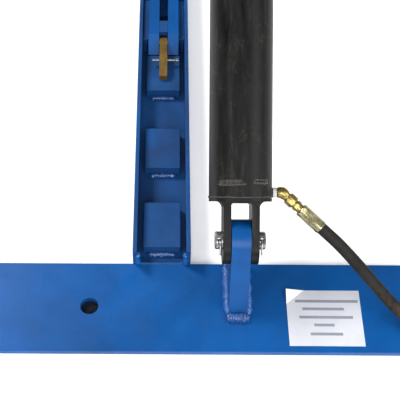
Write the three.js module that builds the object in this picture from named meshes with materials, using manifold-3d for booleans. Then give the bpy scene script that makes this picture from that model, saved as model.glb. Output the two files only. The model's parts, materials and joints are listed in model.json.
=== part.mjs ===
// Foot of a hydraulic lift: a steel cross plate, a channel with welded stop blocks and a locking carriage,
// and a pinned hydraulic cylinder with its hose. Millimetres, +X right, +Y away from the plate, +Z up.
// The origin is the centre of the cross plate's underside.
import * as THREE from "three";
import { mergeVertices } from "three/addons/utils/BufferGeometryUtils.js";
import Module from "manifold-3d";

const wasm = await Module();
wasm.setup();

// ---- driving dimensions ----
const GAP = 0.3; // between pieces that meet
const PLATE = { long: 640, deep: 132, thick: 10 };
const ANCHOR = { r: 12, x: [-151, 290] };
const CHANNEL = { x: -53.5, wide: 80, tall: 43, web: 5, flange: 6, long: 620 };
const BLOCK = { wide: 52, long: 74, tall: 18, count: 4, first: 85.6, step: 135.7, growth: 15 };
const CARRIAGE = { slot: 14, cheek: 17.5, toe: 446, front: 472, back: 640, low: 24, top: 46, pad: 27 };
const PAWL = { thick: 12.4, pivotY: 467, pivotZ: 31.5, tipY: 393.5, rodY: 426, rodZ: 34, rodR: 2 };
const CYL = { x: 49.5, y: 57.8, z: 88.2, tilt: 33.5, outer: 41.5, bore: 35, base: 51, end: 494.2 };
const EAR = { thick: 10, gap: 26.8, r: 24, low: 31.5, web: 2.5 };
const LUG = { thick: 25.2, r: 27.8, frontY: -15, backY: 64 };
const PIN = { r: 12, long: 66.6, splitX: 28.4 };
const ROD = { r: 20, shoulder: 118.5, top: 559.9, stud: 12 };
const EYE = { at: 594.2, r: 30, thick: 26, bush: 18, pin: 12.8 };
const PORT = { s: 63.2, elbowX: 55, slope: 42 };
const HOSE = { r: 8, ferruleR: 9.2, coilR: 88, coilX: 480, coilY: 38, coilTop: 53.7 };
const LABEL = { wide: 100, deep: 82, x: 116, y: -57, thick: 0.4 };

const plateBack = PLATE.deep / 2;
const channelFloor = CHANNEL.web;
const blockTop = channelFloor + BLOCK.tall;

// ---- finishes ----
const FINISH = {
  blue: [0x1c5aa6, 0.42, 0.1],
  black: [0x1d1d1f, 0.45, 0.3],
  steel: [0xb9bbbd, 0.35, 0.9],
  zinc: [0xa99a52, 0.35, 0.9],
  brass: [0x94762f, 0.4, 0.9],
  rubber: [0x232322, 0.7, 0],
  tape: [0xe9e9e6, 0.6, 0],
  seal: [0x2b2b2b, 0.6, 0],
  label: [0xe4e6ea, 0.6, 0],
};

// ---- geometry helpers ----
const v3 = (x, y, z) => new THREE.Vector3(x, y, z);

function solid(geometry) {
  const bare = geometry.clone();
  bare.deleteAttribute("normal");
  bare.deleteAttribute("uv");
  const merged = mergeVertices(bare, 1e-3);
  const mesh = new wasm.Mesh({
    numProp: 3,
    vertProperties: new Float32Array(merged.attributes.position.array),
    triVerts: new Uint32Array(merged.index.array),
  });
  return new wasm.Manifold(mesh);
}

function shell(body) {
  const mesh = body.getMesh();
  const geometry = new THREE.BufferGeometry();
  geometry.setAttribute("position", new THREE.BufferAttribute(new Float32Array(mesh.vertProperties), 3));
  geometry.setIndex(new THREE.BufferAttribute(new Uint32Array(mesh.triVerts), 1));
  const flat = geometry.toNonIndexed();
  flat.computeVertexNormals();
  return flat;
}

function join(first, ...others) {
  return shell(others.reduce((sum, g) => sum.add(solid(g)), solid(first)));
}

function cut(first, ...others) {
  return shell(others.reduce((rest, g) => rest.subtract(solid(g)), solid(first)));
}

function box(x0, x1, y0, y1, z0, z1) {
  return new THREE.BoxGeometry(x1 - x0, y1 - y0, z1 - z0).translate((x0 + x1) / 2, (y0 + y1) / 2, (z0 + z1) / 2);
}

// A bar of any number of sides from one point towards another.
function bar(from, to, radius, sides = 24) {
  const along = to.clone().sub(from);
  const geometry = new THREE.CylinderGeometry(radius, radius, along.length(), sides);
  const turn = new THREE.Quaternion().setFromUnitVectors(v3(0, 1, 0), along.clone().normalize());
  return geometry.applyQuaternion(turn).translate(...from.clone().add(to).multiplyScalar(0.5).toArray());
}

// A closed profile of [radius, place along Y] points turned about Y.
function turned(profile, sides = 32) {
  const points = profile.map(([r, s]) => new THREE.Vector2(r, s));
  return new THREE.LatheGeometry(points, sides);
}

const ring = (inner, outer, s0, s1, sides = 32) =>
  turned([[inner, s0], [outer, s0], [outer, s1], [inner, s1], [inner, s0]], sides);

// A flat outline in Y and Z, given thickness along X.
function slab(outline, x0, x1) {
  const geometry = new THREE.ExtrudeGeometry(outline, { depth: x1 - x0, bevelEnabled: false, curveSegments: 20 });
  const turn = new THREE.Matrix4().makeBasis(v3(0, 1, 0), v3(0, 0, 1), v3(1, 0, 0));
  return geometry.applyMatrix4(turn).translate(x0, 0, 0);
}

function sweep(points, radius, sides, steps) {
  const section = new THREE.Shape();
  for (let i = 0; i < sides; i++) {
    const a = (2 * Math.PI * i) / sides;
    const at = [radius * Math.cos(a), radius * Math.sin(a)];
    if (i === 0) section.moveTo(...at);
    else section.lineTo(...at);
  }
  const path = new THREE.CatmullRomCurve3(points, false, "centripetal");
  return new THREE.ExtrudeGeometry(section, { steps, extrudePath: path, bevelEnabled: false });
}

function polygon(points) {
  return new THREE.Shape(points.map(([a, b]) => new THREE.Vector2(a, b)));
}

function add(group, name, geometry, finish) {
  const [color, roughness, metalness] = FINISH[finish];
  const mesh = new THREE.Mesh(geometry, new THREE.MeshStandardMaterial({ color, roughness, metalness }));
  mesh.name = name;
  group.add(mesh);
  return mesh;
}

// ---- cross plate, channel and stop blocks ----
function addFrame(root) {
  const halfLong = PLATE.long / 2;
  const slabOfPlate = box(-halfLong, halfLong, -plateBack, plateBack, 0, PLATE.thick);
  const anchors = ANCHOR.x.map((x) => bar(v3(x, 0, -1), v3(x, 0, PLATE.thick + 1), ANCHOR.r, 32));
  add(root, "base_plate", cut(slabOfPlate, ...anchors), "blue");

  const { x, wide, tall, web, flange, long } = CHANNEL;
  const far = plateBack + long;
  const outside = box(x - wide / 2, x + wide / 2, plateBack, far, 0, tall);
  const inside = box(x - wide / 2 + flange, x + wide / 2 - flange, plateBack - 1, far + 1, web, tall + 1);
  add(root, "rack_channel", cut(outside, inside), "blue");

  const half = wide / 2 - flange;
  const sill = polygon([[plateBack, web], [plateBack + 14, web], [plateBack, PLATE.thick]]);
  add(root, "channel_sill", slab(sill, x - half, x + half), "blue");

  for (let i = 0; i < BLOCK.count; i++) {
    const front = BLOCK.first + BLOCK.step * i + (BLOCK.growth * i * (i - 1)) / 2;
    const block = box(x - BLOCK.wide / 2, x + BLOCK.wide / 2, front, front + BLOCK.long, channelFloor, blockTop);
    add(root, `stop_block_${i + 1}`, block, "blue");
  }

  const { wide: w, deep: d, x: lx, y: ly, thick: t } = LABEL;
  add(root, "label_plate", box(lx, lx + w, ly, ly + d, PLATE.thick, PLATE.thick + t), "label");
}

// ---- lug, its bush, the clevis pin and the split pins ----
function addLug(root) {
  const { x, y, z } = CYL;
  const outline = new THREE.Shape();
  const foot = PLATE.thick;
  // The straight front edge touches the round end where a line from the foot is tangent to it.
  const tangent = (fromY, side) => {
    const away = Math.hypot(fromY - y, foot - z);
    const towards = Math.atan2(foot - z, fromY - y);
    return towards + side * Math.acos(LUG.r / away);
  };
  const frontTurn = tangent(LUG.frontY, -1);
  const backTurn = tangent(LUG.backY, 1);
  outline.moveTo(LUG.frontY, foot);
  outline.lineTo(y + LUG.r * Math.cos(frontTurn), z + LUG.r * Math.sin(frontTurn));
  outline.absarc(y, z, LUG.r, frontTurn, backTurn, true);
  outline.lineTo(LUG.backY, foot);
  outline.closePath();
  const blank = slab(outline, x - LUG.thick / 2, x + LUG.thick / 2);
  const across = (half, radius) => bar(v3(x - half, y, z), v3(x + half, y, z), radius, 40);
  add(root, "lug_plate", cut(blank, across(LUG.thick, PIN.r + 3.6)), "blue");

  const bush = cut(across(LUG.thick / 2, PIN.r + 3.3), across(LUG.thick, PIN.r + GAP));
  add(root, "lug_bush", bush, "zinc");

  const joint = new THREE.Group();
  joint.position.set(x, y, z);
  joint.rotation.x = THREE.MathUtils.degToRad(CYL.tilt);
  root.add(joint);
  const half = PIN.long / 2;
  const crossHole = (side) => bar(v3(side * PIN.splitX, 0, -20), v3(side * PIN.splitX, 0, 20), 3.7, 16);
  const pinRound = turned([[0, -half], [PIN.r - 1.5, -half], [PIN.r, -half + 1.5], [PIN.r, half - 1.5],
    [PIN.r - 1.5, half], [0, half]], 40).rotateZ(-Math.PI / 2);
  add(joint, "clevis_pin", cut(pinRound, crossHole(-1), crossHole(1)), "steel");

  // Each split pin is one wire: a leg, the shank through the pin, the eye, the shank back and a shorter leg.
  const wire = [[-1.7, -19, 15.6], [-1.7, -12, 16.4], [-1.7, -5, 16.6], [-1.7, -1.4, 15], [-1.7, 0, 11],
    [-1.7, 0, 0], [-1.7, 0, -12], [-3.2, 0, -16], [-2.4, 0, -20], [0, 0, -21.4], [2.4, 0, -20], [3.2, 0, -16],
    [1.7, 0, -12], [1.7, 0, 0], [1.7, 0, 11], [1.7, -1.4, 15], [2.2, -5, 16.6], [3.2, -9, 16.6]];
  for (const [name, side] of [["split_pin_left", -1], ["split_pin_right", 1]]) {
    const points = wire.map(([a, b, c]) => v3(side * (PIN.splitX + a), b, c));
    add(joint, name, sweep(points, 1.4, 8, 44), "steel");
  }
}

// ---- the cylinder, along +Y of its own group, with the clevis pin at its origin ----
function addCylinder(root) {
  const group = new THREE.Group();
  group.position.set(CYL.x, CYL.y, CYL.z);
  group.rotation.x = THREE.MathUtils.degToRad(CYL.tilt);
  root.add(group);
  const { outer, bore, base, end } = CYL;
  const snug = bore - GAP;

  const cap = turned([[0, base], [outer, base], [outer, base + 5.2], [snug, base + 5.2], [snug, base + 8],
    [0, base + 8]], 64);
  const earShape = new THREE.Shape();
  earShape.moveTo(base + 1, -EAR.r);
  earShape.lineTo(base + 1, EAR.r);
  earShape.lineTo(EAR.r - EAR.low, EAR.r);
  earShape.absarc(EAR.r - EAR.low, 0, EAR.r, Math.PI / 2, (3 * Math.PI) / 2, false);
  earShape.closePath();
  const ear = (side) => {
    const near = (side * EAR.gap) / 2;
    const far = near + side * EAR.thick;
    return slab(earShape, Math.min(near, far), Math.max(near, far));
  };
  const pinHole = bar(v3(-50, 0, 0), v3(50, 0, 0), PIN.r + GAP, 40);
  const half = EAR.gap / 2 + 1;
  const web = box(-half, half, base - EAR.web, base + 1, -EAR.r, EAR.r);
  const clevis = solid(cap).add(solid(web)).add(solid(ear(-1))).add(solid(ear(1))).subtract(solid(pinHole));
  add(group, "clevis_end_cap", shell(clevis), "black");

  const portHole = bar(v3(bore - 5, PORT.s, 0), v3(outer + 5, PORT.s, 0), 3.5, 16);
  add(group, "barrel_tube", cut(ring(bore, outer, base + 5.5, end, 64), portHole), "black");

  const rodHole = ROD.r + GAP;
  const seat = ROD.r + 6;
  const gland = turned([[rodHole, end - 45], [snug, end - 45], [snug, end + GAP], [outer, end + GAP],
    [outer, end + 12], [seat, end + 12], [seat, end + 4], [rodHole, end + 4], [rodHole, end - 20],
    [seat, end - 20], [seat, end - 30], [rodHole, end - 30], [rodHole, end - 45]], 48);
  add(group, "gland_head", gland, "black");
  add(group, "rod_seal", ring(ROD.r + 0.15, seat - GAP, end - 29.7, end - 20.3), "seal");
  add(group, "rod_wiper", ring(ROD.r + 0.15, seat - GAP, end + 4.3, end + 13), "seal");

  addFittings(group);
  addRod(group);
}

// ---- port adapter, 45 degree elbow, swivel nut, hose stem and crimped ferrule ----
function addFittings(group) {
  const { s, elbowX } = PORT;
  const centre = v3(elbowX, s, 0);
  const turn = THREE.MathUtils.degToRad(PORT.slope);
  const slope = v3(Math.cos(turn), -Math.sin(turn), 0);
  const at = (distance) => centre.clone().addScaledVector(slope, distance);
  add(group, "port_adapter", bar(v3(CYL.outer + 0.5, s, 0), v3(47.5, s, 0), 6.4), "tape");
  const elbow = join(
    bar(v3(47.8, s, 0), centre, 7),
    new THREE.SphereGeometry(7.3, 20, 12).translate(...centre.toArray()),
    bar(centre, at(9.3), 6.2),
  );
  add(group, "elbow_fitting", elbow, "brass");
  const hex = (from, to, flats) => bar(at(from), at(to), flats / Math.sqrt(3), 6);
  add(group, "swivel_nut", hex(9.6, 21.4, 16), "brass");
  add(group, "hose_stem", hex(21.7, 32.4, 13.4), "brass");
  add(group, "crimp_ferrule", bar(at(32.8), at(69), HOSE.ferruleR), "zinc");
}

// ---- piston, rod and rod eye ----
function addRod(group) {
  const { r, shoulder, top, stud } = ROD;
  const snug = CYL.bore - GAP;
  const low = shoulder - 32.3;
  const rod = turned([[0, low - 14], [stud, low - 14], [stud, shoulder], [r, shoulder], [r, top - 2],
    [r - 2, top], [0, top]], 40);
  add(group, "piston_rod", rod, "steel");
  const hole = stud + GAP;
  const piston = turned([[hole, low], [snug, low], [snug, low + 10], [29, low + 10], [29, low + 22],
    [snug, low + 22], [snug, low + 32], [hole, low + 32], [hole, low]], 40);
  add(group, "piston", piston, "steel");
  add(group, "piston_seal", ring(29.3, snug, low + 10.3, low + 21.7), "seal");
  const nutBlank = bar(v3(0, low - 13.7, 0), v3(0, low - GAP, 0), 19, 6);
  add(group, "piston_nut", cut(nutBlank, bar(v3(0, low - 20, 0), v3(0, low + 5, 0), hole)), "steel");

  const { at, r: eyeR, thick, bush, pin } = EYE;
  const across = (half, radius) => bar(v3(-half, at, 0), v3(half, at, 0), radius, 40);
  const eye = solid(across(thick / 2, eyeR))
    .add(solid(bar(v3(0, top + GAP, 0), v3(0, at - eyeR + 8, 0), 17, 32)))
    .subtract(solid(across(thick, bush)));
  add(group, "rod_eye", shell(eye), "black");
  add(group, "rod_eye_bush", cut(across(thick / 2, bush - GAP), across(thick, pin)), "zinc");
}

// ---- locking carriage that slides in the channel, and its pawl ----
function addCarriage(root) {
  const { x } = CHANNEL;
  const { slot, cheek, toe, front, back, low, top, pad: padHalf } = CARRIAGE;
  const inner = slot / 2;
  const outer = inner + cheek;
  const pivot = (half, radius) =>
    bar(v3(x - half, PAWL.pivotY, PAWL.pivotZ), v3(x + half, PAWL.pivotY, PAWL.pivotZ), radius, 24);
  for (const [name, side] of [["carriage_cheek_left", -1], ["carriage_cheek_right", 1]]) {
    const near = x + side * inner;
    const far = x + side * outer;
    const outline = polygon([[toe, low], [back, low], [back, top], [front, top]]);
    const blank = slab(outline, Math.min(near, far), Math.max(near, far));
    add(root, name, cut(blank, pivot(60, 4 + GAP)), "blue");
    // Each shoe hangs from a ledge over the stop blocks and runs in the gap beside them.
    const shoeFar = x + side * (CHANNEL.wide / 2 - CHANNEL.flange - 0.7);
    const part = (from, bottom) =>
      box(Math.min(from, shoeFar), Math.max(from, shoeFar), 470, 560, bottom, 36);
    const shoe = join(part(far + side * 0.3, low), part(x + side * (BLOCK.wide / 2 + 1), channelFloor + 0.5));
    add(root, name.replace("carriage_cheek", "guide_shoe"), shoe, "blue");
  }
  add(root, "carriage_bridge", box(x - inner, x + inner, 477.5, 503, low + 12, top - 0.5), "blue");
  add(root, "pawl_pivot_pin", pivot(outer, 4), "steel");

  const pad = box(x - padHalf, x + padHalf, 562, 638, top, top + 8);
  const holes = [];
  for (const dx of [-18, 18]) {
    for (const y of [578, 622]) holes.push(bar(v3(x + dx, y, top - 1), v3(x + dx, y, top + 9), 4.5, 20));
  }
  add(root, "arm_mount_plate", cut(pad, ...holes), "blue");

  const { pivotY, pivotZ, tipY, thick, rodY, rodZ, rodR } = PAWL;
  const tipZ = blockTop + 0.5;
  const profile = new THREE.Shape();
  profile.moveTo(tipY, tipZ);
  profile.lineTo(pivotY - 20, tipZ);
  profile.lineTo(pivotY, pivotZ - 8);
  profile.absarc(pivotY, pivotZ, 8, -Math.PI / 2, Math.PI / 2, false);
  profile.lineTo(pivotY - 20, pivotZ + 9);
  profile.lineTo(tipY + 14, tipZ + 17);
  profile.lineTo(tipY, tipZ + 9);
  profile.closePath();
  const blank = slab(profile, x - thick / 2, x + thick / 2);
  const rodHole = bar(v3(x - thick, rodY, rodZ), v3(x + thick, rodY, rodZ), rodR + GAP, 16);
  add(root, "lock_pawl", cut(blank, pivot(thick, 4 + GAP), rodHole), "zinc");
  add(root, "lift_rod", bar(v3(x - 18, rodY, rodZ), v3(x + 24.5, rodY, rodZ), rodR, 16), "steel");
  const collar = cut(
    bar(v3(x + 20, rodY, rodZ), v3(x + 24, rodY, rodZ), 3.6, 20),
    bar(v3(x + 16, rodY, rodZ), v3(x + 28, rodY, rodZ), rodR + GAP, 16),
  );
  add(root, "lift_rod_collar", collar, "steel");
}

// ---- hose: the lead off the ferrule, the coil beside the plate and the far end fitting ----
const hoseRoute = [
  [156.1, 71.8, 97.5], [181, 52.8, 84.9], [207, 29.6, 69.4], [233, 5, 53], [256, -16, 40],
  [284, -34, 28.5], [314, -45.5, 20.5], [346, -50.5, 14], [380, -51, 9.6], [404, -50.2, 8.4], [424, -50, 8.3],
];
const tailRoute = [
  [568, 96, 35], [567.6, 110, 28], [566, 132, 18], [564.2, 152, 12.5], [563.6, 168, 11.1], [563.5, 182, 11],
];

function addHose(root) {
  add(root, "hose_lead", sweep(hoseRoute.map((p) => v3(...p)), HOSE.r, 10, 14), "rubber");
  const { r, coilR, coilX, coilY, coilTop, ferruleR } = HOSE;
  const coil = ring(coilR - r - 0.2, coilR + r + 0.2, 0, coilTop, 40);
  add(root, "hose_coil", coil.rotateX(Math.PI / 2).translate(coilX, coilY, 0), "rubber");
  add(root, "hose_tail", sweep(tailRoute.map((p) => v3(...p)), r, 10, 6), "rubber");
  const [x, y, z] = tailRoute[tailRoute.length - 1];
  const at = (distance) => v3(x, y + distance, z);
  add(root, "far_ferrule", bar(at(0.4), at(36.5), ferruleR), "zinc");
  add(root, "far_nut", bar(at(37), at(53), 10.8, 6), "brass");
}

const part = new THREE.Group();
addFrame(part);
addLug(part);
addCylinder(part);
addCarriage(part);
addHose(part);

export default part;
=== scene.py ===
"""Foot of a hydraulic lift: cross plate, stop-block channel with a locking carriage, pinned cylinder and hose.

Metres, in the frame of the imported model: +X right, +Y away from the plate, +Z up.
"""
import json
import math
import random

import bpy
from mathutils import Matrix, Vector


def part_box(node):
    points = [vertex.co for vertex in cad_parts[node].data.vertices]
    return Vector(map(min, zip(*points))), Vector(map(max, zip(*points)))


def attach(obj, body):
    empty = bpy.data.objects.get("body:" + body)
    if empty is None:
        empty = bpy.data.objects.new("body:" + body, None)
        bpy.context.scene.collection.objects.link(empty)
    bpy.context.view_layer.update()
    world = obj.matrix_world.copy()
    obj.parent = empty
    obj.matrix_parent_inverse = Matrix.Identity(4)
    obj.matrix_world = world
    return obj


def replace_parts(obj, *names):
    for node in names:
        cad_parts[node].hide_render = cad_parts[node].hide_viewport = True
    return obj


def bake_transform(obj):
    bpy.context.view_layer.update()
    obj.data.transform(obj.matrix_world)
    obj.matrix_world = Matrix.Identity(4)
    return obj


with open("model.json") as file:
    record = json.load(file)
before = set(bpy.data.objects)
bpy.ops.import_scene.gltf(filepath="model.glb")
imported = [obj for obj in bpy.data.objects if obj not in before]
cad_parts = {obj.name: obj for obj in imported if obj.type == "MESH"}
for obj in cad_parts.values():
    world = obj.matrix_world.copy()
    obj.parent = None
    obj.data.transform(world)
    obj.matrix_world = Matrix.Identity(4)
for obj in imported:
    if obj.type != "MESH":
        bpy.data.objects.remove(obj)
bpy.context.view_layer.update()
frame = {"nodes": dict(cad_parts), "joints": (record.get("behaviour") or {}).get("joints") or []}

MM = 0.001
random.seed(7)


# ---------------------------------------------------------------- camera

def make_camera():
    """The view down on the plate from its front, framed with a small sideways shift."""
    elevation, roll = math.radians(56.5), math.radians(0.35)
    focal_share, distance = 855 / 400, 1.264  # focal length over image width, and metres to the target
    target = Vector((-0.0495, 0.1783, 0.0))
    data = bpy.data.cameras.new("camera")
    data.sensor_width = 36.0
    data.lens = focal_share * data.sensor_width
    data.shift_x, data.shift_y = 0.0875, 0.0012
    data.clip_start, data.clip_end = 0.05, 30.0
    camera = bpy.data.objects.new("camera", data)
    bpy.context.scene.collection.objects.link(camera)
    turn = Matrix.Rotation(math.pi / 2 - elevation, 4, "X") @ Matrix.Rotation(roll, 4, "Z")
    back = turn @ Vector((0, 0, 1))
    camera.matrix_world = Matrix.Translation(target + distance * back) @ turn
    bpy.context.scene.camera = camera


make_camera()

# ---------------------------------------------------------------- places read from the frame

joints = {j["name"]: j for j in frame["joints"]}
pivot = Vector(joints["cylinder_pivot"]["pos_m"])
stroke_axis = Vector(joints["rod_stroke"]["axis"]).normalized()
tilt = math.atan2(stroke_axis.z, stroke_axis.y)
cylinder_frame = Matrix.Translation(pivot) @ Matrix.Rotation(tilt, 4, "X")


def on_cylinder(x, s, z):
    """A point given in millimetres across, along and above the cylinder's axis, from the clevis pin."""
    return cylinder_frame @ Vector((x * MM, s * MM, z * MM))


def direction_on_cylinder(x, s, z):
    return (cylinder_frame.to_3x3() @ Vector((x, s, z))).normalized()


# ---------------------------------------------------------------- materials

def shader(name, rough, metal=0.0, color=None, coat=0.0, specular=0.5):
    """A new material, its node tree and its Principled shader."""
    material = bpy.data.materials.new(name)
    material.use_nodes = True
    tree = material.node_tree
    principled = tree.nodes["Principled BSDF"]
    principled.inputs["Roughness"].default_value = rough
    principled.inputs["Metallic"].default_value = metal
    principled.inputs["Coat Weight"].default_value = coat
    principled.inputs["Coat Roughness"].default_value = 0.2
    principled.inputs["Specular IOR Level"].default_value = specular
    if color:
        principled.inputs["Base Color"].default_value = (*color, 1)
    return material, tree, principled


def coordinates(tree, scale=(1, 1, 1), rotation=(0, 0, 0)):
    where = tree.nodes.new("ShaderNodeTexCoord")
    mapping = tree.nodes.new("ShaderNodeMapping")
    mapping.inputs["Scale"].default_value = scale
    mapping.inputs["Rotation"].default_value = rotation
    tree.links.new(where.outputs["Object"], mapping.inputs["Vector"])
    return mapping.outputs["Vector"]


def noise(tree, vector, scale, detail=6.0, rough=0.55, distortion=0.0):
    node = tree.nodes.new("ShaderNodeTexNoise")
    node.inputs["Scale"].default_value = scale
    node.inputs["Detail"].default_value = detail
    node.inputs["Roughness"].default_value = rough
    node.inputs["Distortion"].default_value = distortion
    tree.links.new(vector, node.inputs["Vector"])
    return node.outputs["Fac"]


def ramp(tree, source, stops):
    """A colour ramp from (place, colour) stops; a plain number stands for a grey."""
    node = tree.nodes.new("ShaderNodeValToRGB")
    elements = node.color_ramp.elements
    while len(elements) < len(stops):
        elements.new(0.5)
    for element, (place, color) in zip(elements, stops):
        element.position = place
        rgb = (color, color, color) if isinstance(color, (int, float)) else color
        element.color = (*rgb, 1)
    tree.links.new(source, node.inputs["Fac"])
    return node.outputs["Color"]


def blended(tree, factor, first, second):
    """A mix of two colours, each a socket or a plain colour."""
    node = tree.nodes.new("ShaderNodeMix")
    node.data_type = "RGBA"
    for socket, value in ((node.inputs[6], first), (node.inputs[7], second)):
        if isinstance(value, bpy.types.NodeSocket):
            tree.links.new(value, socket)
        else:
            socket.default_value = (*value, 1)
    if isinstance(factor, bpy.types.NodeSocket):
        tree.links.new(factor, node.inputs[0])
    else:
        node.inputs[0].default_value = factor
    return node.outputs[2]


def bumped(tree, principled, height, strength, distance):
    node = tree.nodes.new("ShaderNodeBump")
    node.inputs["Strength"].default_value = strength
    node.inputs["Distance"].default_value = distance
    tree.links.new(height, node.inputs["Height"])
    tree.links.new(node.outputs["Normal"], principled.inputs["Normal"])


def blue_paint(name="blue_enamel", light=(0.001, 0.080, 0.30), dark=(0.002, 0.056, 0.205), chips=0.0, rough=0.36):
    """Thick enamel with orange peel, cloudy thickness, rub marks, dust and optional chips to bare steel."""
    material, tree, principled = shader(name, rough, specular=0.22)
    clouds = noise(tree, coordinates(tree, (1, 1, 1.6)), 9.0, 5.0, 0.6, 0.4)
    color = ramp(tree, clouds, [(0.34, dark), (0.66, light)])
    rubs = noise(tree, coordinates(tree, (1, 7, 2), (0, 0, 0.35)), 60.0, 8.0, 0.7)
    rub_mask = ramp(tree, rubs, [(0.62, 0.0), (0.84, 0.30)])
    color = blended(tree, rub_mask, color, (0.015, 0.09, 0.26))
    dust = noise(tree, coordinates(tree), 320.0, 3.0, 0.6)
    dust_mask = ramp(tree, dust, [(0.66, 0.0), (0.80, 0.22)])
    color = blended(tree, dust_mask, color, (0.04, 0.09, 0.19))
    if chips:
        spots = noise(tree, coordinates(tree), 150.0, 4.0, 0.7, 0.8)
        chip_mask = ramp(tree, spots, [(0.72 - chips, 0.0), (0.75 - chips, 0.8)])
        color = blended(tree, chip_mask, color, (0.25, 0.31, 0.40))
    tree.links.new(color, principled.inputs["Base Color"])
    wear = noise(tree, coordinates(tree), 26.0, 6.0, 0.65)
    tree.links.new(ramp(tree, wear, [(0.3, rough - 0.07), (0.7, rough + 0.14)]), principled.inputs["Roughness"])
    peel = noise(tree, coordinates(tree), 420.0, 2.0, 0.5)
    bumped(tree, principled, peel, 0.22, 0.0006)
    return material


def glossy_weld(name, light, dark, painted_glint, rarity=0.64, painted_glint_scale=190.0, coat=0.6, specular=0.6):
    """Lumpy paint over a weld, with pale spots mixed into its colour as painted glints. coat and specular say how much
    it glints.
    """
    material, tree, principled = shader(name, 0.14, coat=coat, specular=specular)
    lumps = noise(tree, coordinates(tree), 170.0, 5.0, 0.65, 0.6)
    color = ramp(tree, lumps, [(0.35, dark), (0.65, light)])
    # Pale spots in the base colour: painted glints, standing in for highlights.
    spots = noise(tree, coordinates(tree), painted_glint_scale, 3.0, 0.6)
    painted_glint_mask = ramp(tree, spots, [(rarity, 0.0), (rarity + 0.06, 1.0)])
    tree.links.new(blended(tree, painted_glint_mask, color, painted_glint), principled.inputs["Base Color"])
    tree.links.new(ramp(tree, lumps, [(0.35, 0.10), (0.7, 0.26)]), principled.inputs["Roughness"])
    bumped(tree, principled, lumps, 0.8, 0.0022)
    return material


def black_paint():
    """Thin black enamel on drawn tube: long rubs and runs along the cylinder, grey scuffs and pin-point chips."""
    material, tree, principled = shader("black_enamel", 0.42, specular=0.14)
    along = coordinates(tree, (1, 1, 1), (-tilt, 0, 0))
    stretch = tree.nodes.new("ShaderNodeMapping")
    stretch.inputs["Scale"].default_value = (1, 0.13, 1)
    tree.links.new(along, stretch.inputs["Vector"])
    runs = noise(tree, stretch.outputs["Vector"], 75.0, 9.0, 0.68, 0.5)
    tones = [(0.34, (0.0030, 0.0030, 0.0038)), (0.54, (0.0095, 0.009, 0.0085)), (0.72, (0.036, 0.034, 0.031))]
    color = ramp(tree, runs, tones)
    scuffs = noise(tree, along, 42.0, 9.0, 0.72, 1.2)
    scuff_mask = ramp(tree, scuffs, [(0.56, 0.0), (0.70, 0.5)])
    color = blended(tree, scuff_mask, color, (0.048, 0.044, 0.036))
    chips = noise(tree, along, 210.0, 3.0, 0.6)
    chip_mask = ramp(tree, chips, [(0.74, 0.0), (0.78, 0.8)])
    color = blended(tree, chip_mask, color, (0.12, 0.11, 0.09))
    tree.links.new(color, principled.inputs["Base Color"])
    tree.links.new(ramp(tree, runs, [(0.3, 0.30), (0.7, 0.52)]), principled.inputs["Roughness"])
    bumped(tree, principled, scuffs, 0.25, 0.0007)
    return material


def metal(name, light, dark, rough, scale=70.0, stretch=(1, 1, 1), bump=0.1, metallic=0.9):
    """Worn metal: two tones in soft patches, with fine grain in its roughness and height."""
    material, tree, principled = shader(name, rough, metallic)
    patches = noise(tree, coordinates(tree, stretch), scale, 7.0, 0.65, 0.5)
    tree.links.new(ramp(tree, patches, [(0.32, dark), (0.68, light)]), principled.inputs["Base Color"])
    grain = noise(tree, coordinates(tree, stretch), scale * 7, 3.0, 0.6)
    shades = [(0.3, max(0.05, rough - 0.1)), (0.7, min(0.95, rough + 0.12))]
    tree.links.new(ramp(tree, grain, shades), principled.inputs["Roughness"])
    bumped(tree, principled, grain, bump, 0.0004)
    return material


def hose_rubber():
    """Extruded rubber cover with the faint weave of its curing wrap, dust and a few brown scuffs."""
    material, tree, principled = shader("hose_cover", 0.62, specular=0.16)
    wrap = tree.nodes.new("ShaderNodeTexWave")
    wrap.wave_type = "BANDS"
    wrap.bands_direction = "DIAGONAL"
    wrap.inputs["Scale"].default_value = 240.0
    wrap.inputs["Distortion"].default_value = 1.2
    tree.links.new(coordinates(tree), wrap.inputs["Vector"])
    tones = [(0.3, (0.008, 0.008, 0.0075)), (0.7, (0.021, 0.020, 0.018))]
    base = ramp(tree, noise(tree, coordinates(tree), 45.0, 7.0, 0.6), tones)
    scuff = ramp(tree, noise(tree, coordinates(tree), 95.0, 5.0, 0.7), [(0.60, 0.0), (0.80, 0.5)])
    color = blended(tree, scuff, base, (0.055, 0.042, 0.028))
    place = tree.nodes.new("ShaderNodeSeparateXYZ")
    tree.links.new(coordinates(tree), place.inputs["Vector"])
    low_part = ramp(tree, place.outputs["Z"], [(0.030, 1.0), (0.068, 0.0)])
    rust = ramp(tree, noise(tree, coordinates(tree), 130.0, 6.0, 0.7), [(0.42, 0.0), (0.62, 0.75)])
    dirt = blended(tree, low_part, (0, 0, 0), rust)
    color = blended(tree, dirt, color, (0.085, 0.045, 0.022))
    tree.links.new(color, principled.inputs["Base Color"])
    bumped(tree, principled, wrap.outputs["Fac"], 0.18, 0.0003)
    return material


def plain(name, light, dark, rough, scale, bump=0.1):
    material, tree, principled = shader(name, rough)
    tone = noise(tree, coordinates(tree), scale, 5.0, 0.6)
    tree.links.new(ramp(tree, tone, [(0.35, dark), (0.65, light)]), principled.inputs["Base Color"])
    bumped(tree, principled, noise(tree, coordinates(tree), scale * 6, 3.0), bump, 0.0003)
    return material


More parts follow.
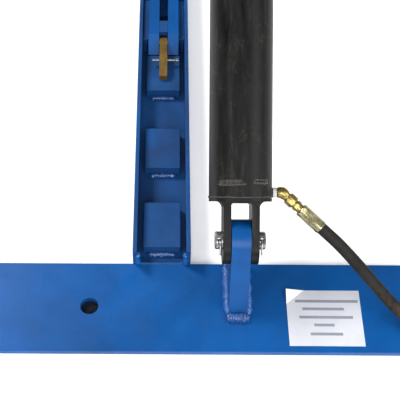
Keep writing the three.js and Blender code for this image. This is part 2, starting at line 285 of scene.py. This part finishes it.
MATERIAL = {
    "blue": blue_paint(),
    # A darker, greyer copy of the blue enamel: its tones are painted shade for the channel's recesses; its chips are
    # real wear.
    "blue_painted_shade_and_wear": blue_paint("blue_enamel_painted_shade_and_wear", (0.009, 0.076, 0.25), (0.012, 0.044, 0.14), chips=0.02),
    # The third colour of each weld paint is its painted glint.
    "blue_weld": glossy_weld("blue_weld_paint", (0.006, 0.085, 0.31), (0.010, 0.045, 0.17), (0.45, 0.55, 0.72)),
    # A brighter copy of the weld paint: painted highlight for the side beads, as if they catch the light.
    "blue_bead_painted_highlight": glossy_weld("blue_bead_paint", (0.003, 0.115, 0.42), (0.004, 0.070, 0.26), (0.05, 0.19, 0.48), 0.66),
    "black": black_paint(),
    "black_weld": glossy_weld("black_weld_paint", (0.019, 0.017, 0.011), (0.013, 0.012, 0.009), (0.03, 0.028, 0.02),
                              rarity=0.80, painted_glint_scale=150.0, coat=0.25, specular=0.4),
    "steel": metal("machined_steel", (0.52, 0.51, 0.49), (0.20, 0.19, 0.18), 0.34, 90.0),
    "chrome": metal("hard_chrome", (0.80, 0.81, 0.83), (0.66, 0.67, 0.70), 0.13, 30.0, bump=0.03, metallic=1.0),
    "zinc": metal("yellow_zinc", (0.47, 0.43, 0.25), (0.19, 0.165, 0.085), 0.27, 120.0, bump=0.12),
    "pawl": metal("dull_yellow_zinc", (0.20, 0.125, 0.022), (0.10, 0.050, 0.008), 0.50, 90.0, (1, 0.5, 1), 0.35, 0.4),
    "brass": metal("dull_brass", (0.47, 0.375, 0.13), (0.16, 0.115, 0.035), 0.30, 150.0, bump=0.12),
    "tape": plain("thread_tape", (0.80, 0.80, 0.76), (0.58, 0.58, 0.54), 0.55, 200.0, 0.5),
    "seal": plain("seal_rubber", (0.035, 0.035, 0.036), (0.018, 0.018, 0.018), 0.55, 160.0),
    "hose": hose_rubber(),
    "label": plain("label_film", (0.60, 0.615, 0.665), (0.52, 0.535, 0.585), 0.45, 14.0, 0.05),
    # A much lighter copy of the label film: painted highlight on the lifted corner.
    "label_fold_painted_highlight": plain("label_fold_painted_highlight", (0.86, 0.86, 0.87), (0.80, 0.80, 0.82), 0.5, 14.0, 0.05),
    "print": plain("label_print", (0.245, 0.255, 0.30), (0.225, 0.235, 0.28), 0.6, 20.0, 0.0),
}

# ---------------------------------------------------------------- CAD nodes that stay

STAYS = {
    "blue": (["base_plate", "lug_plate", "carriage_cheek_left", "carriage_cheek_right", "arm_mount_plate"], 1.0),
    # These parts take the darker copy of the blue enamel, painted shade with real chips.
    "blue_painted_shade_and_wear": (["rack_channel", "channel_sill", "carriage_bridge", "guide_shoe_left", "guide_shoe_right"]
                  + [n for n in frame["nodes"] if n.startswith("stop_block")], 0.9),
    "black": (["clevis_end_cap", "barrel_tube", "gland_head", "rod_eye"], 0.9),
    "steel": (["clevis_pin", "piston", "piston_nut", "pawl_pivot_pin", "lift_rod", "lift_rod_collar",
               "split_pin_left", "split_pin_right"], 0.3),
    "chrome": (["piston_rod"], 0.5),
    "zinc": (["lug_bush", "rod_eye_bush"], 0.4),
    "pawl": (["lock_pawl"], 0.9),
    "seal": (["rod_seal", "rod_wiper", "piston_seal"], 0.2),
}


def dress(node, material, bevel_mm):
    """Gives a CAD node its material, welded smooth shading and a small rounded edge, by modifiers alone."""
    mesh = node.data
    if "custom_normal" in mesh.attributes:
        mesh.attributes.remove(mesh.attributes["custom_normal"])
    mesh.polygons.foreach_set("use_smooth", [True] * len(mesh.polygons))
    mesh.materials.clear()
    mesh.materials.append(material)
    weld = node.modifiers.new("weld", "WELD")
    weld.merge_threshold = 0.00002
    bevel = node.modifiers.new("bevel", "BEVEL")
    bevel.width = bevel_mm * MM
    bevel.segments = 2
    bevel.limit_method = "ANGLE"
    bevel.angle_limit = math.radians(38)
    bevel.harden_normals = True


for key, (names, bevel_mm) in STAYS.items():
    for name in names:
        dress(frame["nodes"][name], MATERIAL[key], bevel_mm)


# ---------------------------------------------------------------- mesh making

def new_piece(name, vertices, faces, material, sharp=40.0):
    mesh = bpy.data.meshes.new(name)
    mesh.from_pydata([tuple(v) for v in vertices], [], faces)
    mesh.validate()
    mesh.update()
    mesh.polygons.foreach_set("use_smooth", [True] * len(mesh.polygons))
    mesh.set_sharp_from_angle(angle=math.radians(sharp))
    mesh.materials.append(material)
    piece = bpy.data.objects.new(name, mesh)
    bpy.context.scene.collection.objects.link(piece)
    return piece


def rings_to_faces(rings, sides):
    """Side faces between rings of vertices, and one face on each end."""
    faces = []
    for i in range(rings - 1):
        for j in range(sides):
            k = (j + 1) % sides
            faces.append((i * sides + j, i * sides + k, (i + 1) * sides + k, (i + 1) * sides + j))
    faces.append(tuple(reversed(range(sides))))
    faces.append(tuple(range((rings - 1) * sides, rings * sides)))
    return faces


def frames_along(points):
    """Right and up vectors carried along a path without twist."""
    tangents = []
    for i, _ in enumerate(points):
        ahead, behind = points[min(i + 1, len(points) - 1)], points[max(i - 1, 0)]
        tangents.append((ahead - behind).normalized())
    across = tangents[0].orthogonal().normalized()
    found = []
    for tangent in tangents:
        across = (across - tangent * across.dot(tangent)).normalized()
        found.append((across, tangent.cross(across)))
    return found


def swept(name, points, radius_at, sides, material, sharp=40.0):
    """A closed tube along points; radius_at(share of the way, angle) gives its radius."""
    points = [Vector(p) for p in points]
    vertices = []
    for i, (point, (across, up)) in enumerate(zip(points, frames_along(points))):
        share = i / (len(points) - 1)
        for j in range(sides):
            angle = 2 * math.pi * j / sides
            reach = radius_at(share, angle)
            vertices.append(point + across * (reach * math.cos(angle)) + up * (reach * math.sin(angle)))
    return new_piece(name, vertices, rings_to_faces(len(points), sides), material, sharp)


def spun(name, origin, axis, profile, sides, material, shape=None, sharp=32.0):
    """A turned piece: profile holds (place, radius) in mm along axis.

    shape(angle, radius, place) may change a radius.
    """
    axis = axis.normalized()
    across = axis.orthogonal().normalized()
    up = axis.cross(across)
    vertices = []
    for place, radius in profile:
        for j in range(sides):
            angle = 2 * math.pi * j / sides
            reach = shape(angle, radius, place) if shape else radius
            out = across * math.cos(angle) + up * math.sin(angle)
            vertices.append(origin + axis * (place * MM) + out * (reach * MM))
    return new_piece(name, vertices, rings_to_faces(len(profile), sides), material, sharp)


def smooth_path(points, spacing):
    """Points about spacing apart on a Catmull-Rom curve through the given ones."""
    points = [Vector(p) for p in points]
    ends = [2 * points[0] - points[1], *points, 2 * points[-1] - points[-2]]
    made = []
    for a, b, c, d in zip(ends, ends[1:], ends[2:], ends[3:]):
        count = max(1, round((c - b).length / spacing))
        for i in range(count):
            t = i / count
            made.append(0.5 * (2 * b + (c - a) * t + (2 * a - 5 * b + 4 * c - d) * t ** 2
                               + (3 * b - a - 3 * c + d) * t ** 3))
    return [*made, points[-1]]


# ---------------------------------------------------------------- hose

HOSE_RADIUS = 8.0
FAR_FERRULE_GAP, FAR_NUT_AT = 0.0004, 0.037  # metres past the hose's end
COIL = {"centre": (480.0, 38.0), "radius": 88.0, "low": 8.3, "pitch": 16.5, "turns": 2.25}

LEAD = [
    (156.1, 71.8, 97.5), (181.0, 52.8, 84.9), (207.0, 29.6, 69.4), (233.0, 5.0, 53.0), (256.0, -16.0, 40.0),
    (284.0, -34.0, 28.5), (314.0, -45.5, 20.5), (346.0, -50.5, 14.0), (380.0, -51.0, 9.6), (404.0, -50.2, 8.4),
    (424.0, -50.0, 8.3), (452.0, -50.0, 8.3),
]
TAIL = [
    (568.0, 60.0, 44.2), (568.0, 78.0, 40.8), (568.0, 96.0, 35.0), (567.6, 110.0, 28.0), (566.0, 132.0, 18.0),
    (564.2, 152.0, 12.5), (563.6, 168.0, 11.1), (563.5, 182.0, 11.0),
]


def coil_points():
    steps = round(COIL["turns"] * 24)
    found = []
    for i in range(steps + 1):
        turns = COIL["turns"] * i / steps
        angle = -math.pi / 2 + 2 * math.pi * turns
        x = COIL["centre"][0] + COIL["radius"] * math.cos(angle)
        y = COIL["centre"][1] + COIL["radius"] * math.sin(angle)
        found.append((x, y, COIL["low"] + COIL["pitch"] * turns))
    return found


def crimped(angle, radius, place):
    """Eight pressed flats along a ferrule, fading out at its plain ends."""
    inside = min(1.0, max(0.0, (place - 3) / 4), max(0.0, (34 - place) / 4))
    eighth = (angle % (math.pi / 4)) - math.pi / 8
    flat = radius * math.cos(math.pi / 8) / math.cos(eighth)
    return radius + (flat - radius) * 0.85 * inside


def ferrule(name, origin, axis):
    profile = [(0, 6.6), (0, 8.6), (0.8, 9.2), (2.6, 9.2), (3.4, 8.9), (7, 9.0), (20, 9.0), (31, 9.0), (34, 9.15),
               (35.6, 9.15), (36.4, 8.5), (36.4, 7.9)]
    return spun(name, origin, axis, profile, 64, MATERIAL["zinc"], crimped)


CORNER_SHARE = 0.97  # a hexagon's corners reach this share of their sharp radius


def hex_shape(flats):
    """A hexagon across flats, its corners rounded off a little."""
    half = flats / 2

    def radius(angle, limit, _place):
        sixth = (angle % (math.pi / 3)) - math.pi / 6
        return min(limit, half / math.cos(sixth), half / math.cos(math.pi / 6) * CORNER_SHARE)
    return radius


def hex_nut(name, origin, axis, length, flats, material):
    wide = flats / 2 / math.cos(math.pi / 6)
    tight = flats / 2 - 0.2
    profile = [(0, 5.2), (0, tight), (1.2, wide), (length - 1.2, wide), (length, tight), (length, 5.2)]
    return spun(name, origin, axis, profile, 72, material, hex_shape(flats))


def make_hose():
    route = [Vector(p) * MM for p in [*LEAD, *coil_points(), *TAIL]]
    path = smooth_path(route, 0.006)
    hose = swept("hose", path, lambda share, angle: HOSE_RADIUS * MM, 24, MATERIAL["hose"])
    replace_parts(hose, "hose_lead", "hose_coil", "hose_tail")
    end = Vector(TAIL[-1]) * MM
    along = Vector((0, 1, 0))
    far_ferrule = ferrule("far_end_ferrule", end + along * FAR_FERRULE_GAP, along)
    far_nut = hex_nut("far_end_nut", end + along * FAR_NUT_AT, along, 16, 18.6, MATERIAL["brass"])
    for piece, node, slot in ((far_ferrule, "far_ferrule", "zinc_steel"), (far_nut, "far_nut", "brass_fitting")):
        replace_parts(piece, node)
        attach(piece, "base")
    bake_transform(hose)


make_hose()


# ---------------------------------------------------------------- fittings at the cylinder

def make_fittings():
    """Taped thread, cast elbow, swivel nut, hose stem and crimped ferrule, on the line that the elbow points along."""
    port_s, elbow_x, slope_turn = 63.2, 55.0, math.radians(42)
    elbow = on_cylinder(elbow_x, port_s, 0)
    slope = direction_on_cylinder(math.cos(slope_turn), -math.sin(slope_turn), 0)
    sideways = direction_on_cylinder(1, 0, 0)
    wraps = [(0.0, 5.6)]
    for i in range(4):
        wraps += [(0.3 + i * 1.3, 6.5), (0.8 + i * 1.3, 6.9), (1.3 + i * 1.3, 6.3)]
    tape = spun("port_thread_tape", on_cylinder(42.0, port_s, 0), sideways, [*wraps, (5.4, 5.8)], 40, MATERIAL["tape"])
    bend = smooth_path([elbow - sideways * 0.0072, elbow - sideways * 0.004, elbow - sideways * 0.0005 + slope * 0.0005,
                        elbow + slope * 0.0045, elbow + slope * 0.0094], 0.0006)

    def elbow_radius(share, _angle):
        return (6.3 + 1.5 * math.sin(math.pi * min(1, share * 1.15)) ** 0.6) * MM

    body = swept("elbow_body", bend, elbow_radius, 40, MATERIAL["brass"])
    nut = hex_nut("hose_swivel_nut", elbow + slope * 0.0097, slope, 11.7, 15.4, MATERIAL["brass"])
    stem = spun("hose_stem_hex", elbow + slope * 0.0216, slope,
                [(0, 5), (0, 6.2), (1.4, 6.2), (2.0, 7.5), (6.4, 7.5), (7.2, 6.4), (10.9, 6.4), (10.9, 5)],
                72, MATERIAL["brass"], hex_shape(13.2))
    sleeve = ferrule("hose_end_ferrule", elbow + slope * 0.0327, slope)
    for piece, node, slot in ((tape, "port_adapter", "thread_tape"), (body, "elbow_fitting", "brass_fitting"),
                              (nut, "swivel_nut", "brass_fitting"), (stem, "hose_stem", "brass_fitting"),
                              (sleeve, "crimp_ferrule", "zinc_steel")):
        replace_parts(piece, node)
        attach(piece, "barrel")


make_fittings()


# ---------------------------------------------------------------- welds

def bead(name, corners, radius_mm, body, material):
    """A hand-laid weld bead along straight runs: overlapping ripples with an uneven width."""
    corners = [Vector(c) for c in corners]
    points = []
    for a, b in zip(corners, corners[1:]):
        count = max(2, round((b - a).length / (1.1 * MM)))
        points += [a.lerp(b, i / count) for i in range(count)]
    points.append(corners[-1])
    phase = random.uniform(0, 6)
    length_mm = sum((q - p).length for p, q in zip(points, points[1:])) / MM

    def radius_at(share, angle):
        ripple = 0.10 * math.sin(share * length_mm / 3.4 * 2 * math.pi + phase + 0.4 * math.cos(angle))
        drift = 0.10 * math.sin(share * length_mm / 19 * 2 * math.pi + 2 * phase)
        close = min(1.0, 0.35 + 6 * min(share, 1 - share))
        return radius_mm * MM * (1 + ripple + drift) * close

    piece = swept(name, points, radius_at, 14, material, 70.0)
    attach(piece, body)
    return piece


def make_frame_welds():
    blue = MATERIAL["blue_weld"]
    low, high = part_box("lug_plate")
    z = low.z + 0.001
    back, front = high.y - 0.02, low.y + 0.001
    # The side beads take the brighter weld paint, a painted highlight.
    smooth = MATERIAL["blue_bead_painted_highlight"]
    bead("weld_lug_left", [(low.x - 0.001, back, z), (low.x - 0.001, front, z)], 6.6, "base", smooth)
    bead("weld_lug_right", [(high.x + 0.001, back, z), (high.x + 0.001, front, z)], 6.6, "base", smooth)
    bead("weld_lug_front", [(low.x - 0.004, front - 0.003, z), (high.x + 0.004, front - 0.003, z)], 7.6, "base", blue)
    channel_low, channel_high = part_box("rack_channel")
    plate_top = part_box("base_plate")[1].z
    web_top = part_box("channel_sill")[0].z
    for side, x in (("left", channel_low.x + 0.0065), ("right", channel_high.x - 0.0065)):
        run = [(x, channel_low.y + 0.001, plate_top - 0.001), (x, channel_low.y + 0.004, channel_high.z - 0.012)]
        bead(f"weld_channel_{side}", run, 4.4, "base", smooth)
    across = [(channel_low.x + 0.004, channel_low.y + 0.001, plate_top - 0.0016),
              (channel_high.x - 0.004, channel_low.y + 0.001, plate_top - 0.0016)]
    # The channel's front bead takes the darker blue enamel, which is painted shade.
    bead("weld_channel_front", across, 2.6, "base", MATERIAL["blue_painted_shade_and_wear"])
    for name in sorted(n for n in frame["nodes"] if n.startswith("stop_block")):
        block_low, block_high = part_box(name)
        z = web_top + 0.0012
        for place, y in (("front", block_low.y - 0.0022), ("rear", block_high.y + 0.001)):
            run = [(block_low.x + 0.005, y, z), (block_high.x - 0.005, y, z)]
            bead(f"weld_{name}_{place}", run, 4.4 if place == "front" else 3.0, "base", blue)


def hollow_fillet(name, x, s, reach_x, reach_s, half_deep):
    """A weld with a hollow face in the corner at (x, s): reach_x out along the cap, reach_s down the ear."""
    steps, rows = 8, 26
    vertices, faces = [], []
    for i in range(rows + 1):
        z = -half_deep + 2 * half_deep * i / rows
        wobble = 1 + 0.10 * math.sin(i * 1.9) + random.uniform(-0.05, 0.05)
        section = [(x - math.copysign(0.6, reach_x), s + 0.6)]
        for k in range(steps + 1):
            turn = math.pi / 2 * k / steps
            section.append((x + reach_x * wobble * (1 - math.sin(turn)), s - reach_s * wobble * (1 - math.cos(turn))))
        vertices += [on_cylinder(px, ps, z) for px, ps in section]
    count = steps + 2
    for i in range(rows):
        for k in range(count):
            m = (k + 1) % count
            faces.append((i * count + k, i * count + m, (i + 1) * count + m, (i + 1) * count + k))
    faces += [tuple(reversed(range(count))), tuple(range(rows * count, (rows + 1) * count))]
    if reach_x > 0:
        faces = [tuple(reversed(face)) for face in faces]
    piece = new_piece(name, vertices, faces, MATERIAL["black"], 60.0)
    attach(piece, "barrel")


def make_cylinder_welds():
    ear_outer, ear_inner, cap_s, web_s = 23.4, 13.4, 51.0, 48.5
    for side in (-1, 1):
        hand = "left" if side < 0 else "right"
        hollow_fillet(f"weld_ear_{hand}", side * ear_outer, cap_s, side * 7.5, 9.0, 23.0)
        hollow_fillet(f"weld_ear_inner_{hand}", side * ear_inner, web_s, -side * 2.6, 3.0, 23.0)

    def arc(place, radius, start, end, waver):
        turns = [math.radians(start + (end - start) * i / 72) for i in range(73)]
        return [on_cylinder(radius * math.sin(a), place + waver * math.sin(3 * a), radius * math.cos(a)) for a in turns]

    runs = [  # name, place along the cylinder, radius of the path, thickness, start and end round the tube, waver
        ("weld_seam", 56.6, 40.9, 1.5, -180, 180, 0.2), ("weld_gland_seam", 494.3, 41.0, 0.9, -180, 180, 0.2),
        ("weld_pass_low_left", 73.4, 39.9, 3.2, -50, 8, 0.6), ("weld_pass_high_left", 77.4, 39.7, 3.1, -48, 2, 0.6),
        ("weld_pass_low_right", 74.4, 39.9, 3.1, 18, 54, 0.6), ("weld_pass_high_right", 78.2, 39.7, 3.0, 22, 52, 0.6),
    ]
    for name, place, radius, thick, start, end, waver in runs:
        bead(name, arc(place, radius, start, end, waver), thick, "barrel", MATERIAL["black_weld"])


make_frame_welds()
make_cylinder_welds()


# ---------------------------------------------------------------- label

FILM_THICK = 0.00018
BAR_LIFT = 0.00019  # the bars lie just above the film
BAR_HALF = 0.024  # half a bar's height, as a share of the label's
FOLD_SHARE, FOLD_LIFT = 0.25, 0.0050  # how far the lifted corner reaches in, and how high it stands


def make_label():
    """A blank film label, one corner lifting, with plain grey bars where print would be."""
    low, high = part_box("label_plate")
    wide, deep = high.x - low.x, high.y - low.y
    top = low.z + 0.0003
    count = 24

    def corner(u, v):
        return max(0.0, 1 - (u / FOLD_SHARE + (1 - v) / FOLD_SHARE))

    def height(u, v):
        wave = 0.00012 * math.sin(5 * u + 2 * v) + 0.0001 * math.sin(9 * v)
        return top + wave + FOLD_LIFT * corner(u, v)

    def grid(name, u0, u1, v0, v1, lift, material, cells):
        vertices, faces = [], []
        for layer in (0.0, FILM_THICK):
            for i in range(cells + 1):
                for j in range(cells + 1):
                    u = u0 + (u1 - u0) * i / cells
                    v = v0 + (v1 - v0) * j / cells
                    vertices.append((low.x + u * wide, low.y + v * deep, height(u, v) + lift + layer))
        row, layer_size = cells + 1, (cells + 1) ** 2
        for i in range(cells):
            for j in range(cells):
                a = i * row + j
                # the cells are cut along the crease, so that the fold's edge is straight
                faces += [(a, a + 1, a + row + 1), (a, a + row + 1, a + row)]
                b = a + layer_size
                faces += [(b, b + row + 1, b + 1), (b, b + row, b + row + 1)]
        rim = [i * row for i in range(row)] + [(row - 1) * row + j for j in range(1, row)]
        rim += [i * row + row - 1 for i in range(row - 2, -1, -1)] + [j for j in range(row - 2, 0, -1)]
        for a, b in zip(rim, rim[1:] + rim[:1]):
            faces.append((a, b, b + layer_size, a + layer_size))
        piece = new_piece(name, vertices, faces, material, 12.0)
        # The lifted corner's faces take the lighter film colour: painted highlight where the flap tilts toward the
        # light.
        piece.data.materials.append(MATERIAL["label_fold_painted_highlight"])
        for face in piece.data.polygons:
            centre = face.center
            folded = corner((centre.x - low.x) / wide, (centre.y - low.y) / deep) > 0.01
            face.material_index = 1 if folded else 0
        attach(piece, "base")
        return piece

    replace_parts(grid("label_film", 0, 1, 0, 1, 0.0, MATERIAL["label"], count), "label_plate")
    bars = [(0.12, 0.97, 0.80), (0.21, 0.77, 0.66), (0.16, 0.88, 0.51), (0.35, 0.62, 0.37), (0.29, 0.72, 0.21)]
    for i, (u0, u1, v) in enumerate(bars):
        grid(f"label_bar_{i + 1}", u0, u1, v - BAR_HALF, v + BAR_HALF, BAR_LIFT, MATERIAL["print"], 6)


make_label()


# ---------------------------------------------------------------- floor and light

ANCHOR_HOLE = (-0.151, 0.0)  # the hole that the photo shows


def make_set():
    floor_material, _, principled = shader("floor", 0.9, color=(0.93, 0.93, 0.93), specular=0.05)
    principled.inputs["Emission Color"].default_value = (1, 1, 1, 1)
    principled.inputs["Emission Strength"].default_value = 0.25
    bpy.ops.mesh.primitive_plane_add(size=24, location=(0, 0, -0.0006))
    floor = bpy.context.object
    floor.name = "floor"
    floor.data.materials.append(floor_material)
    # A near-black disc on the floor under the anchor hole: painted shade, so that the hole looks dark inside.
    shade_material, _, _ = shader("painted_shade_disc_under_hole", 0.9, color=(0.012, 0.014, 0.02), specular=0.05)
    hole_x, hole_y = ANCHOR_HOLE
    bpy.ops.mesh.primitive_circle_add(vertices=32, radius=0.02, fill_type="NGON", location=(hole_x, hole_y, -0.0003))
    shade = bpy.context.object
    shade.name = "painted_shade_under_anchor_hole"
    shade.data.materials.append(shade_material)

    world = bpy.data.worlds.new("studio")
    world.use_nodes = True
    background = world.node_tree.nodes["Background"]
    background.inputs["Color"].default_value = (0.95, 0.97, 1.0, 1)
    background.inputs["Strength"].default_value = 0.26
    bpy.context.scene.world = world

    lights = [  # name, place, size, power
        ("key", (-1.4, 1.3, 2.0), 0.6, 52.0),
        ("fill_left", (-1.5, -1.6, 1.6), 1.5, 26.0),
        ("fill_right", (1.9, -0.7, 1.4), 1.5, 34.0),
        ("front", (0.3, -2.0, 1.7), 1.6, 46.0),
    ]
    target = Vector((0.05, 0.15, 0.05))
    for name, place, size, power in lights:
        data = bpy.data.lights.new(name, "AREA")
        data.size = size
        data.energy = power
        light = bpy.data.objects.new(name, data)
        light.location = place
        light.rotation_euler = (target - Vector(place)).to_track_quat("-Z", "Y").to_euler()
        bpy.context.scene.collection.objects.link(light)
    bpy.context.scene.view_settings.view_transform = "Standard"


make_set()
